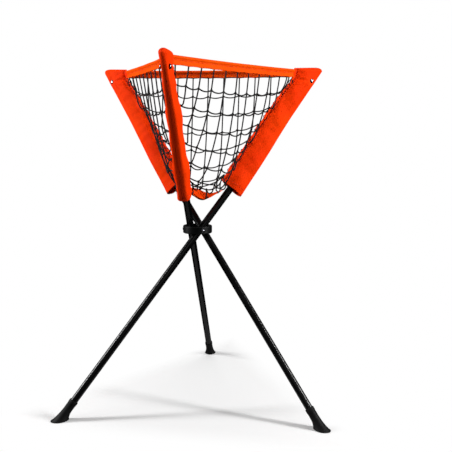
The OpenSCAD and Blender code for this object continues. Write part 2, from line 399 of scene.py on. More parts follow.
def makeCamera(p):
    turn, tilt, roll = (math.radians(p[k]) for k in ("turn", "tilt", "roll"))
    ahead = np.array([-math.sin(turn) * math.cos(tilt), math.cos(turn) * math.cos(tilt), math.sin(tilt)])
    right = unit(np.cross(ahead, upward))
    up = np.cross(right, ahead)
    right, up = right * math.cos(roll) + up * math.sin(roll), up * math.cos(roll) - right * math.sin(roll)
    data = bpy.data.cameras.new("camera")
    data.lens = p["lens"]
    data.sensor_width = 36.0
    camera = bpy.data.objects.new("camera", data)
    turned = Matrix(np.stack([right, up, -ahead], axis=1).tolist()).to_4x4()
    camera.matrix_world = Matrix.Translation(p["at"]) @ turned
    bpy.context.scene.collection.objects.link(camera)
    bpy.context.scene.camera = camera


makeCamera(cameraPlace)

# tubes, plugs and feet

tubeSize = {"outside": 19.05, "wall": 1.2, "lowEnd": -600.0, "topEnd": 549.0, "lip": 0.5}


def makeTube(leg, p):
    out = p["outside"] / 2
    inn, low, top, lip = out - p["wall"], p["lowEnd"], p["topEnd"], p["lip"]
    stations = np.linspace(top - lip, low + lip, 40)
    profile = [(inn, low), (inn, top)] + corner(out - lip, top - lip, lip, 90, 0, 4)
    profile += [(out, s) for s in stations[1:-1]]
    profile += corner(out - lip, low + lip, lip, 0, -90, 4) + [(inn, low)]
    part = turnedPart(profile, leg.pivot, leg.along, leg.across, 56)
    tube = makePiece(f"tube_{leg.key}", [part])
    place(tube, leg.body, looks["tube"], "tube_paint", f"leg_tube_{leg.key}")


footSize = {"collar": 11.7, "base": 17.6, "bore": 9.62, "top": -552.0, "lip": 1.2, "flareFrom": -577.0,
            "edge": 2.4}


# a rubber boot: on each line down its side the radius grows by a smooth flare to the flat sole
def makeFoot(leg, p):
    turn = np.linspace(0, 2 * math.pi, 73)
    ring = np.cos(turn)
    edge, bore, base = p["edge"], p["bore"], p["base"]
    lip = p["collar"] - p["lip"]
    collar = [(0, -600.2), (bore, -600.2), (bore, p["top"]), (lip, p["top"])]
    collar += corner(lip, p["top"] - p["lip"], p["lip"], 80, 0, 5)
    collar += [(p["collar"], p["top"] - 9), (p["collar"] - 0.15, p["top"] - 9.6),
               (p["collar"] - 0.6, p["top"] - 10.4)]
    # where a line down the side at the base's radius meets the ground
    ground = (-leg.pivot[2] / mm + base * ring * math.sin(leg.lean)) / math.cos(leg.lean)
    down = np.linspace(0, 1, 34)[:, None]
    s = p["flareFrom"] + (ground + edge - p["flareFrom"]) * down
    r = p["collar"] - 0.6 + (base - p["collar"] + 0.6) * (0.2 * down + 0.8 * down ** 2.6)
    rr = np.concatenate([np.outer([c[0] for c in collar], np.ones(73)), np.broadcast_to(r, s.shape)])
    ss = np.concatenate([np.outer([c[1] for c in collar], np.ones(73)), s])
    side = leg.at(ss, rr * ring, rr * np.sin(turn))
    tuck = np.radians(np.linspace(15, 90, 6))[:, None]
    rim = leg.at(ground + 0 * tuck, (base - edge + edge * np.cos(tuck)) * ring,
                 (base - edge + edge * np.cos(tuck)) * np.sin(turn))
    rim[..., 2] = edge * mm * (1 - np.sin(tuck))
    # the sole runs in from the rim, with a shallow recess inside a flat border
    share = np.array([0.8, 0.72, 0.66, 0.4, 0.0])[:, None, None]
    sole = rim[-1][None] * share + rim[-1].mean(0) * (1 - share)
    sole[..., 2] = np.array([0, 0, 0.9, 0.9, 0.9])[:, None] * mm
    grid = np.concatenate([side, rim, sole])
    grid[..., 2] = np.maximum(grid[..., 2], 0)
    grid[:, -1] = grid[:, 0]
    foot = makePiece(f"boot_{leg.key}", [gridPart(grid, np.zeros(2))], weld=2e-5)
    place(foot, leg.body, looks["foot"], "foot_rubber", f"foot_{leg.key}")


def relook(node, look):
    for holder in frame["nodes"][node].material_slots:
        holder.material = look


for leg in legs.values():
    makeTube(leg, tubeSize)
    makeFoot(leg, footSize)
    relook(f"tube_plug_{leg.key}", looks["plug"])
print("tubes and feet made")

# ring and pivots

ringSize = {"outside": 39.3, "height": 20.0, "edge": 2.0, "flat": 29.375, "arc": 34.5, "seat": 38.4,
            "seatRadius": 5.2}


# the ring: a rounded profile turned about the axis, its inner wall drawn in to a flat beside each washer,
# and its outer wall drawn in to a flat seat round each bolt head
def makeRing(p):
    turn = np.linspace(0, 2 * math.pi, 721)
    directions = [math.atan2(leg.across[1], leg.across[0]) for leg in legs.values()]
    off = np.min([np.abs((turn - a + math.pi) % (2 * math.pi) - math.pi) for a in directions], axis=0)
    inner = np.minimum(p["arc"], p["flat"] / np.cos(np.clip(off, 0, 1.0)))
    half, edge = p["height"] / 2, p["edge"]
    up = np.linspace(-half + edge, half - edge, 49)
    outer = [(-edge + edge * math.cos(a), -half + edge + edge * math.sin(a))
             for a in np.radians(np.linspace(-90, 0, 9))]
    outer += [(0, z) for z in up[1:-1]]
    outer += [(-edge + edge * math.cos(a), half - edge + edge * math.sin(a))
              for a in np.radians(np.linspace(0, 90, 9))]
    outer = np.array(outer)
    r = p["outside"] + outer[:, :1] + 0 * turn
    z = outer[:, 1:] + 0 * turn
    # a seat's wall is where the sideways and upright distance from the bolt is within its radius
    aside = p["outside"] * np.sin(np.clip(off, 0, 1.2))
    seat = smoothStep((p["seatRadius"] + 0.15 - np.hypot(aside[None], z)) / 0.3)
    r = r * (1 - seat) + np.minimum(r, p["seat"] / np.cos(np.clip(off, 0, 1.0))) * seat
    bevel = 0.8
    innerProfile = [(bevel, half), (0.25, half - 0.25), (0, half - bevel), (0, -half + bevel),
                    (0.25, -half + 0.25), (bevel, -half)]
    ri = np.array([inner + a for a, b in innerProfile])
    zi = np.array([b + 0 * turn for a, b in innerProfile])
    rr = np.concatenate([r, ri, r[:1]])
    zz = np.concatenate([z, zi, z[:1]])
    centre = np.array([0, 0, legs["a"].pivot[2]])
    points = np.stack([rr * np.cos(turn) * mm, rr * np.sin(turn) * mm, zz * mm], axis=-1) + centre
    points[:, -1] = points[:, 0]
    ring = makePiece("ring", [gridPart(points, np.zeros(2))])
    place(ring, "hub", looks["ring"], "ring_plastic", "hub_ring")


# a button head: a short straight rim under a low dome
def headProfile(radius, height, rim=0.7):
    dome = [(radius * math.cos(a), rim + (height - rim) * math.sin(a))
            for a in np.radians(np.linspace(8, 90, 12))]
    return [(0, 0), (radius - 0.3, 0), (radius, 0.3), (radius, rim)] + dome


def makePivot(leg):
    axisPoint = np.array([0, 0, leg.pivot[2]])
    seat = 38.42            # from the ring's axis to the underside of the head
    head = turnedPart(headProfile(4.8, 2.8), axisPoint + leg.across * seat * mm, leg.across, upward, 36)
    shankProfile = [(0, 3.15), (2.2, 3.15), (2.5, 3.5), (2.5, seat), (0, seat)]
    shank = turnedPart(shankProfile, axisPoint, leg.across, upward, 28)
    bolt = makePiece(f"bolt_{leg.key}", [head, shank])
    place(bolt, "hub", looks["bolt"], "bolt_steel", f"pivot_bolt_{leg.key}")


makeRing(ringSize)
for leg in legs.values():
    makePivot(leg)
relook("pivot_washers", looks["washer"])
relook("pivot_nuts", looks["bolt"])
print("ring and pivots made")

# sleeves

sleeveSize = {
    "flap": 9.0,            # flat seam allowance along the inner edge
    "cloth": 0.9,           # thickness of the cloth
    "aroundTube": 10.7,     # radius of the cloth where it lies on the tube
    "fullness": [19.0, 19.0, 18.0, 16.5, 13.5, 11.5],
    "scallop": 3.0, "tiePitch": 44.5, "rivetAt": 520.0, "rivetHead": 5.0,
    "rivetOut": 11.3,       # from the tube's axis to the seat of each rivet head
}
# lengths along a sleeve's seam, along its middle, and of its folded hem
seamLength, sleeveLength, hemFold = 378, 395, 15
# each edge of a sleeve from its hem to its top, outward and upward from the pivot
innerEdge = {"u": [0, 0.33, 0.65, 0.8, 0.92, 1], "t": [60, 134, 207, 243, 272, 279],
             "z": [134, 234, 333, 378, 412, 438]}
outerEdge = {"u": [0, 0.3, 0.6, 0.8, 1], "t": [117, 192, 262, 313, 368.5], "z": [86, 190, 291.5, 359, 432]}


# a sum of sine waves of seeded direction, length and phase, about one high
def ripple(a, b, seed, count, shortest, longest):
    rng = np.random.default_rng(seed)
    total = np.zeros(np.broadcast(a, b).shape)
    for heading, share, phase in rng.random((count, 3)):
        length = shortest + (longest - shortest) * share
        wave = 2 * math.pi / length * (a * math.cos(math.pi * heading) + b * math.sin(math.pi * heading))
        total = total + np.sin(wave + 2 * math.pi * phase)
    return total / math.sqrt(count)


# the seam edge at height share u: outward, upward and the length along it from the hem
def seamPoint(u):
    t = through(u, innerEdge["u"], innerEdge["t"])
    z = through(u, innerEdge["u"], innerEdge["z"])
    return t, z, seamLength * u


# the pocket at height share u and share x from seam to outer edge, on the side of the given sign
def sleeveAt(u, x, sign, lean, p, seed):
    ti, zi, length = seamPoint(u)
    to = through(u, outerEdge["u"], outerEdge["t"])
    zo = through(u, outerEdge["u"], outerEdge["z"])
    wide = np.hypot(to - ti, zo - zi)
    # the seam edge draws in to the net at each tie and falls back in an arc between
    draw = p["scallop"] * np.abs(np.sin(math.pi * length / p["tiePitch"])) * smoothStep((0.95 - u) * 14)
    x = x + (1 - x) ** 3 * draw / wide
    t = ti + (to - ti) * x
    z = zi + (zo - zi) * x + 10.5 * x * (1 - x ** 12) * u ** 12
    s = t * math.sin(lean) + z * math.cos(lean)
    q = t * math.cos(lean) - z * math.sin(lean)
    inside = x * wide
    pocket = np.clip((inside - p["flap"]) / (wide - p["flap"]), 0, 1)
    full = through(u, np.linspace(0, 1, 6), p["fullness"])
    pouch = full * 1.82 * pocket ** 0.55 * (1 - pocket) ** 0.35
    tube = np.sqrt(np.maximum(0, p["aroundTube"] ** 2 - q ** 2))
    half = (pouch ** 4 + tube ** 4) ** 0.25
    # drawn in at the rivet, with short creases that run from it inwards and down
    fromRivet = np.hypot(s - p["rivetAt"], q)
    half = half + (10.8 - half) * np.exp(-(fromRivet / 9) ** 2)
    heading = np.arctan2(q, s - p["rivetAt"])
    fan = np.cos(11 * heading + 3 * sign + seed) * np.exp(-((heading + 2.3) / 0.75) ** 2)
    half = half + 1.5 * fan * (fromRivet / 30) * np.exp(1 - fromRivet / 26) * smoothStep(inside / 14)
    # long soft folds, then small wrinkles, strongest away from the tube
    loose = smoothStep((pocket - 0.02) * 5) * smoothStep((1 - pocket) * 6)
    half = half + 2.5 * loose * ripple(s, q, seed + (sign > 0), 7, 50, 150)
    half = half + 0.3 * loose * ripple(s, q * 0.6, seed + 10 + (sign > 0), 9, 20, 45)
    corner = np.exp(-(np.hypot(t - 276, z - 418) / 24) ** 2)
    half = half + 1.0 * corner * np.sin(z * 0.72 + 0.8 * sign) * smoothStep(inside / 5)
    flap = 1.3 * np.sqrt(np.clip(inside / 1.3, 0, 1))
    half = np.maximum(half, 0) + flap * np.exp(-np.maximum(half, 0) / 2)
    # sewn line at the root of the flap and above the folded hem
    half = half - 0.5 * np.exp(-((inside - p["flap"]) / 1.1) ** 2)
    fromHem = u * sleeveLength
    half = half + 0.5 * smoothStep((hemFold - fromHem) / 1.5)
    half = half - 0.4 * np.exp(-((fromHem - hemFold) / 1.2) ** 2)
    # closed along the top by a quarter round
    fromTop = (1 - u) * sleeveLength
    half = half * np.sqrt(np.clip(1 - ((9 - fromTop) / 9).clip(0, 1) ** 2, 0, 1))
    half = half * np.sqrt(np.clip((wide - inside) / 1.5, 0, 1))
    # the flap waves from side to side along the seam
    wave = 1.5 * np.sin(2 * math.pi * length / 61 + seed) * np.exp(-inside / 20) * smoothStep((0.9 - u) * 8)
    return t, z, sign * np.maximum(half, 0) + wave


def makeSleeve(leg, p, seed):
    closing = np.sin(np.linspace(0.06, math.pi / 2, 12))
    u = np.concatenate([np.linspace(0, 0.975, 168), 1 - 0.0228 * (1 - closing)])
    turn = np.linspace(0, 2 * math.pi, 97)
    x = (1 - np.cos(turn)) / 2
    x[-1] = 0
    sign = np.where(turn <= math.pi, 1.0, -1.0)
    uu, xx = np.meshgrid(u, x, indexing="ij")
    t, z, n = sleeveAt(uu, xx, np.broadcast_to(sign, uu.shape), leg.lean, p, seed)
    n[:, 0] = n[:, -1] = (n[:, 0] + n[:, -1]) / 2
    n[:, 48] = n[:, 48] * 0
    points = leg.upright(t, z, n)
    uv = np.stack([(uu * 0.39), np.where(sign > 0, xx, 2 - xx) * 0.075], axis=-1)
    sleeve = makePiece(f"sleeve_cloth_{leg.key}", [gridPart(points, uv)])
    outwards(sleeve)
    solidify(sleeve, p["cloth"] * mm)
    place(sleeve, leg.body, looks["sleeve"], "sleeve_cloth", f"sleeve_{leg.key}")


# turns an open shell's faces to the outside, told by the sum of its faces' own directions from the middle
def outwards(piece):
    mesh = piece.data
    count = len(mesh.polygons)
    centres, normals, areas = np.empty(count * 3), np.empty(count * 3), np.empty(count)
    mesh.polygons.foreach_get("center", centres)
    mesh.polygons.foreach_get("normal", normals)
    mesh.polygons.foreach_get("area", areas)
    centres, normals = centres.reshape(-1, 3), normals.reshape(-1, 3)
    if (((centres - centres.mean(0)) * normals).sum(1) * areas).sum() < 0:
        mesh.flip_normals()


# a short stitch: a small flattened capsule along each given pair of points
def stitchParts(heads, tails, lifts, radius=0.45):
    return [cordPart(np.linspace(a, b, 4), np.array([0.6, 1, 1, 0.6]) * radius * mm, 5, n)
            for a, b, n in zip(heads, tails, lifts)]


# one sewn line at the root of the flap and one above the hem, on both faces of a sleeve
def makeSleeveStitches(leg, p, seed):
    parts = []
    for sign in (1.0, -1.0):
        pitch = 6.5 / seamLength
        u = np.arange(0.02, 0.985, pitch)
        ends = []
        for where in (u, u + 0.68 * pitch):
            ti, zi, _ = seamPoint(where)
            wide = np.hypot(through(where, outerEdge["u"], outerEdge["t"]) - ti,
                            through(where, outerEdge["u"], outerEdge["z"]) - zi)
            t, z, n = sleeveAt(where, p["flap"] / wide, sign, leg.lean, p, seed)
            ends.append(leg.upright(t, z, n + sign * 0.35))
        parts += stitchParts(ends[0], ends[1], np.tile(leg.across, (len(u), 1)))
        x = np.arange(0.06, 0.95, 0.085)
        ends = []
        for where in (x, x + 0.055):
            t, z, n = sleeveAt(np.full(len(x), hemFold / sleeveLength), where, sign, leg.lean, p, seed)
            ends.append(leg.upright(t, z, n + sign * 0.4))
        parts += stitchParts(ends[0], ends[1], np.tile(leg.across, (len(x), 1)))
    stitches = makePiece(f"sleeve_stitches_{leg.key}", parts)
    place(stitches, leg.body, looks["thread"], "sleeve_cloth")


def makeRivet(leg, p):
    parts = []
    for sign in (1, -1):
        at = leg.at(p["rivetAt"], 0, sign * p["rivetOut"])
        profile = [(0, -0.4), (p["rivetHead"] + 1.2, -0.4), (p["rivetHead"] + 1.2, 0.2),
                   (p["rivetHead"] + 0.9, 0.45)]
        profile += [(r, h + 0.45) for r, h in headProfile(p["rivetHead"], 2.0, 0.3)[2:]]
        parts.append(turnedPart(profile, at, leg.across * sign, leg.along, 40))
    rivet = makePiece(f"rivet_{leg.key}", parts)
    place(rivet, leg.body, looks["rivet"], "rivet_metal", f"sleeve_rivet_{leg.key}")


# lacing: a cord that winds round the seam edge twice in each mesh, with two small loops at the top corner
def makeLacing(leg, p):
    u = np.linspace(0.015, 0.93, 700)
    ti, zi, length = seamPoint(u)
    into = unit(np.stack([-np.gradient(zi), np.gradient(ti)], axis=1))
    into *= np.sign(into[:, :1])
    draw = p["scallop"] * np.abs(np.sin(math.pi * length / p["tiePitch"]))
    turn = 4 * math.pi * length / p["tiePitch"]
    deep = draw + 2.4 + 3.4 * np.cos(turn)
    n = 2.9 * np.sin(turn) + 1.5 * np.sin(2 * math.pi * length / 61 + 1)
    path = leg.upright(ti + into[:, 0] * deep, zi + into[:, 1] * deep, n)
    parts = [cordPart(path, 0.9 * mm, 6, leg.across)]
    a = np.linspace(0, 2 * math.pi, 40)
    out, up = 272, 410      # where both loops hang from
    for drop, swing, reach in ((0, 3.0, 9.0), (3, -4.0, 7.0)):
        hung = reach * (1 - np.cos(a))
        loop = leg.upright(out - 4 * np.sin(a) - hung * 0.4, up - drop - hung,
                           swing * np.sin(a) + 0.5 * swing)
        parts.append(cordPart(loop, 1.0 * mm, 6, leg.across))
    lacing = makePiece(f"lacing_{leg.key}", parts)
    place(lacing, leg.body, looks["twine"], "net_cord")


for number, leg in enumerate(legs.values()):
    makeSleeve(leg, sleeveSize, 3 + 20 * number)
    makeSleeveStitches(leg, sleeveSize, 3 + 20 * number)
    makeRivet(leg, sleeveSize)
    makeLacing(leg, sleeveSize)
print("sleeves made")

# rim bands, nets and floor

basketSize = {
    "seamOut": 277.0, "bandTop": 911.5, "bandLow": 889.0, "bandSag": 2.0, "roll": 4.2,
    "tipOut": 67.0, "tipUp": 583.0, "floorFall": 14.0, "floorSlack": 18.0, "floorWaist": 30.0, "tipCut": 15.0,
    "mesh": 44.5, "twine": 1.85, "slack": 0.006, "slackLow": 0.05,
    "legOffset": 18.4,      # from the middle to a leg's own plane, along its bolt
    "netDepth": 338.0,      # from the rim to a floor tip, measured down the sheet
    "netTop": 0.935,        # share of the seam's height where the net starts
    "leaves": 0.9,          # share of the net's depth where it leaves the seam for the tip
    "ties": 7,              # ties of the net down one seam
}


class Panel:
    # one side of the basket, from leg x to leg y: out from the axis, along from x to y, and up
    def __init__(self, name, x, y, p):
        self.name, self.legX, self.legY = name, legs[x], legs[y]
        cornerX, cornerY = (leg.upright(p["seamOut"], 0, 0) for leg in (self.legX, self.legY))
        self.along = unit((cornerY - cornerX) * [1, 1, 0])
        self.out = np.cross(self.along, upward)
        middle = (cornerX + cornerY) / 2
        if middle @ self.out < 0:
            self.out = -self.out
        self.centre = (middle @ self.along) * self.along
        self.reach = (middle @ self.out) / mm
        self.half = np.linalg.norm(cornerY - cornerX) / 2 / mm

    # world point from millimetres out, along and above the ground
    def world(self, out, along, up):
        out, along, up = (np.asarray(v, float)[..., None] * mm for v in (out, along, up))
        return self.centre + out * self.out + along * self.along + up * upward

    def local(self, points):
        d = points - self.centre
        return np.stack([d @ self.out, d @ self.along, points[..., 2]], axis=-1) / mm

    # the net's side on a leg at share k from the rim to the floor's tip
    def side(self, leg, k):
        leaves = basketSize["leaves"]
        t, z, _ = seamPoint(np.clip(basketSize["netTop"] * (1 - k / leaves), 0, 1))
        below = smoothStep((k - leaves) / 0.1)
        t = t * (1 - below) + basketSize["tipOut"] * below
        z = z * (1 - below) + (basketSize["tipUp"] - leg.pivot[2] / mm) * below
        return self.local(leg.upright(t, z, 0))


sides = [Panel(name, x, y, basketSize) for name, x, y in panels]


def bandLine(f, p):
    return p["bandSag"] * (2 * f - f * f)


# half of a rim band: a folded strip, rolled along its top and flat below a sewn groove, from seam to middle
def makeBand(panel, leg, sign, p, seed):
    f = np.linspace(-0.004, 1, 120)
    drop = p["bandTop"] - p["bandLow"]
    r = p["roll"]
    a = np.radians(np.linspace(-58, 238, 26))
    flange = np.linspace(drop, 2 * r + 1.6, 7)
    out = np.concatenate([1.6 - 0.9 * smoothStep((drop - flange) / 8), r * np.cos(a),
                          -1.6 + 0.9 * smoothStep((drop - flange[::-1]) / 8)])
    up = np.concatenate([-flange, r * np.sin(a) - r, -flange[::-1]])
    ff, oo = np.meshgrid(f, out, indexing="ij")
    _, uu = np.meshgrid(f, up, indexing="ij")
    run = panel.half * (1 - ff)
    pull = 1.1 * np.abs(np.sin(math.pi * run / p["mesh"])) * smoothStep((-uu - 9) / 8)
    wander = 0.8 * ripple(run, uu * 0, seed, 5, 60, 160) * smoothStep(ff * 8) * smoothStep((1 - ff) * 5)
    pucker = 0.35 * ripple(run, uu * 0.6, seed + 1, 6, 7, 18) * smoothStep(-uu / 4)
    middle = panel.reach + wander
    points = panel.world(middle + oo * (1 + 0.05 * ripple(run, uu, seed + 2, 4, 25, 60)) + pucker,
                         sign * run, p["bandTop"] - bandLine(ff, p) + uu + pull)
    profile = np.concatenate([[0], np.cumsum(np.hypot(np.diff(out), np.diff(up)))]) * mm
    uv = np.stack(np.broadcast_arrays(run * mm, profile[None]), axis=-1)
    band = makePiece(f"band_{panel.name}_{leg.key}", [gridPart(points, uv)], closed=False)
    outwards(band)
    solidify(band, 0.8 * mm)
    place(band, None, looks["band"], "band_cloth", f"rim_band_{panel.name}")
    start = panel.world(panel.reach, sign * panel.half, p["bandTop"])
    end = panel.world(panel.reach, 0, p["bandTop"] - p["bandSag"])
    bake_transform(band)
    # the sewn line that makes the groove, on both faces
    at = np.arange(6.0, panel.half - 4, 6.0)
    parts = []
    for face in (1, -1):
        ends = []
        for where in (at, at + 4.2):
            share = 1 - where / panel.half
            height = p["bandTop"] - bandLine(share, p) - 2 * r - 2.2
            wave = 0.8 * ripple(where, where * 0, seed, 5, 60, 160)
            outAt = panel.reach + wave * smoothStep(share * 8) * smoothStep((1 - share) * 5)
            ends.append(panel.world(outAt + face * 1.25, sign * where, height))
        parts += stitchParts(ends[0], ends[1], np.tile(panel.out, (len(at), 1)), 0.4)
    stitches = makePiece(f"band_stitches_{panel.name}_{leg.key}", parts)
    place(stitches, None, looks["thread"], "band_cloth")
    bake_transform(stitches)


# the net as knots and the cords between them: columns hang from the band one mesh apart, rows cross them,
# and a cord that would pass a seam is tied to it. Rope lengths are then kept while everything hangs.
class Net:
    def __init__(self, panel, p, seed):
        self.panel, self.p = panel, p
        self.points, self.pinned, self.middle = [], [], []
        self.ropes = []     # lists of point numbers, with the rope's length
        rng = np.random.default_rng(seed)
        mesh = p["mesh"]
        self.depth = p["netDepth"]
        self.depths = np.linspace(0, self.depth, 60)
        self.lefts, self.rights = (np.array([panel.side(leg, k) for k in self.depths / self.depth])
                                   for leg in (panel.legX, panel.legY))
        self.widths = np.linalg.norm(self.rights - self.lefts, axis=1) / 2
        self.bottom = self.widths[-1]
        rows = int(self.depth // mesh)
        count = int(panel.half // mesh)
        knots = {}
        for row in range(rows + 1):
            for column in range(-count, count + 1):
                w, v = row * mesh, column * mesh
                if abs(v) < self.width(w) - 9:
                    knots[row, column] = self.point(self.sheet(w, v), row == 0, column == 0)
        self.knots = [k for (row, _), k in knots.items() if row > 0]
        for (row, column), here in knots.items():
            for down, over in ((1, 0), (0, 1), (0, -1)):
                if row == 0 and over:
                    continue
                other = knots.get((row + down, column + over))
                w, v = row * mesh, column * mesh
                spare = p["slack"] + p["slackLow"] * (w / self.depth) ** 1.5
                loose = 1 + spare * (0.6 + 0.8 * rng.random())
                if other is not None and (down or over > 0):
                    self.rope(here, other, mesh * loose)
                elif other is None:
                    end, cut = self.edge(w, v, over)
                    tie = self.point(end, True, column == 0 and down)
                    reach = np.linalg.norm(np.subtract(end, self.points[here]))
                    self.rope(here, tie, max(cut * loose, reach * 1.015))

    # the sheet is as wide at each depth as the basket is there
    def width(self, w):
        return float(np.interp(w, self.depths, self.widths))

    def sheet(self, w, v):
        k = w / self.depth
        left, right = self.panel.side(self.panel.legX, k), self.panel.side(self.panel.legY, k)
        share = (v / self.width(w) + 1) / 2
        place3 = left * (1 - share) + right * share
        top = self.p["bandLow"] - bandLine(1 - abs(v) / self.panel.half, self.p) + 2
        place3[2] = place3[2] + (top - place3[2]) * max(0.0, 1 - w / 60)
        return place3

    # where a cord leaves the sheet, drawn to the nearest tie on the seam or to the floor's edge
    def edge(self, w, v, over):
        leg = self.panel.legY if v > 0 else self.panel.legX
        if over:
            cut, at = self.width(w) - abs(v), w
        elif abs(v) <= self.bottom:
            return floorEdge(self.panel, v / self.bottom, self.p), self.depth - w
        else:
            at = float(np.interp(-abs(v), -self.widths[:54], self.depths[:54]))
            cut = at - w
        pitch = self.depth / self.p["ties"]
        at = min(max(round(at / pitch), 0.3), 6.6) * pitch
        return self.panel.side(leg, at / self.depth), cut

    def point(self, at, pinned, middle):
        self.points.append(np.array(at, float))
        self.pinned.append(bool(pinned))
        self.middle.append(bool(middle))
        return len(self.points) - 1

    def rope(self, a, b, length, parts=4):
        start, end = self.points[a], self.points[b]
        both = self.middle[a] and self.middle[b]
        inner = [self.point(start + (end - start) * k / parts, False, both) for k in range(1, parts)]
        chain = [a] + inner + [b]
        self.ropes.append((chain, length))

    # every step the free points fall a little, and ropes pull them back, or push where far too short
    def hang(self, steps=260, passes=14):
        x = np.array(self.points)
        free = ~np.array(self.pinned)
        middle = np.array(self.middle)
        pairs = np.array([(c[k], c[k + 1], length / (len(c) - 1))
                          for c, length in self.ropes for k in range(len(c) - 1)])
        a, b, rest = pairs[:, 0].astype(int), pairs[:, 1].astype(int), pairs[:, 2]
        share = np.bincount(a, minlength=len(x)) + np.bincount(b, minlength=len(x))
        before = x.copy()
        for _ in range(steps):
            speed = (x - before) * 0.9
            before = x.copy()
            x = x + (speed + [0, 0, -0.35]) * free[:, None]
            for _ in range(passes):
                gap = x[b] - x[a]
                size = np.linalg.norm(gap, axis=1)
                over = np.maximum(size - rest, 0) + np.minimum(size - 0.72 * rest, 0)
                move = gap * (over / np.maximum(size, 1e-9) * 0.5)[:, None]
                push = np.zeros_like(x)
                np.add.at(push, a, move)
                np.add.at(push, b, -move)
                x = x + push / np.maximum(share * 0.5, 1)[:, None] * free[:, None]
            x[middle, 1] = 0
            # the cords stay between the seams and rest on the floor cloth
            low = np.interp(-x[:, 2], -self.lefts[:, 2], self.lefts[:, 1]) + 2
            high = np.interp(-x[:, 2], -self.rights[:, 2], self.rights[:, 1]) - 2
            x[free, 1] = np.clip(x[free, 1], low[free], high[free])
            spot = self.panel.world(*x.T) / mm
            cloth = floorHeight(spot[:, 0], spot[:, 1], self.p) + 2.4
            ground = np.where(np.hypot(x[:, 0], x[:, 1]) < 75, cloth, 0)
            x[free, 2] = np.maximum(x[free, 2], ground[free])
        self.x = x
        self.stretch = (np.linalg.norm(x[b] - x[a], axis=1) / rest).max()


# a point on the floor's edge between two tips, at share -1 to 1 along it
def floorEdge(panel, share, p):
    ends = [panel.local(leg.upright(p["tipOut"], p["tipUp"] - leg.pivot[2] / mm, 0))
            for leg in (panel.legX, panel.legY)]
    straight = ends[0] + (ends[1] - ends[0]) * (share + 1) / 2
    straight[0] -= (straight[0] - p["floorWaist"]) * (1 - share * share) ** 1.5 * 0.9
    spot = panel.world(*straight) / mm
    straight[2] = floorHeight(spot[0], spot[1], p)
    return straight


# height of the floor cloth: it hangs down between its three points, most of all towards the open side
def floorHeight(x, y, p):
    open3 = next(panel for panel in sides if panel.name == "ca").out
    r = np.hypot(x, y)
    lean = (x * open3[0] + y * open3[1]) / np.maximum(r, 20)
    fall = p["floorFall"] + p["floorSlack"] * lean
    return p["tipUp"] - fall * (1 - np.minimum(r / math.hypot(p["tipOut"], p["legOffset"]), 1) ** 1.5)


# pieces of a path by which side of a plane each part lies, split exactly where it crosses
def splitPath(path, value):
    flips = np.nonzero(value[:-1] * value[1:] < 0)[0]
    runs, start, head = [], 0, None
    for k in list(flips) + [len(path) - 1]:
        body = path[start:k + 1]
        tail = None
        if k < len(path) - 1:
            share = value[k] / (value[k] - value[k + 1])
            tail = path[k] + (path[k + 1] - path[k]) * share
        stretch = [x[None] for x in (head,) if x is not None] + [body]
        stretch += [x[None] for x in (tail,) if x is not None]
        stretch = np.concatenate(stretch)
        at = value[start:k + 1]
        runs.append((stretch, at[np.argmax(np.abs(at))] >= 0))
        start, head = k + 1, tail
    return runs


# a knot: a small ball whose waist twists in three lobes, like the turns of a sheet bend
def knotPart(at, panel, turnBy, radius=3.2):
    around, over = np.linspace(0, 2 * math.pi, 9), np.linspace(0, math.pi, 6)
    oo, aa = np.meshgrid(over, around, indexing="ij")
    r = radius * mm * (1 + 0.22 * np.cos(2 * aa + 2.2 * oo + turnBy))
    side = math.cos(turnBy) * panel.along + math.sin(turnBy) * upward
    rise = -math.sin(turnBy) * panel.along + math.cos(turnBy) * upward
    points = at + (r * np.sin(oo) * np.cos(aa))[..., None] * side * 1.15 + (r * np.cos(oo))[..., None] * rise
    points = points + (r * np.sin(oo) * np.sin(aa))[..., None] * panel.out * 0.85
    points[:, -1] = points[:, 0]
    return gridPart(points, np.stack([aa * 0.001, oo * 0.3], axis=-1))


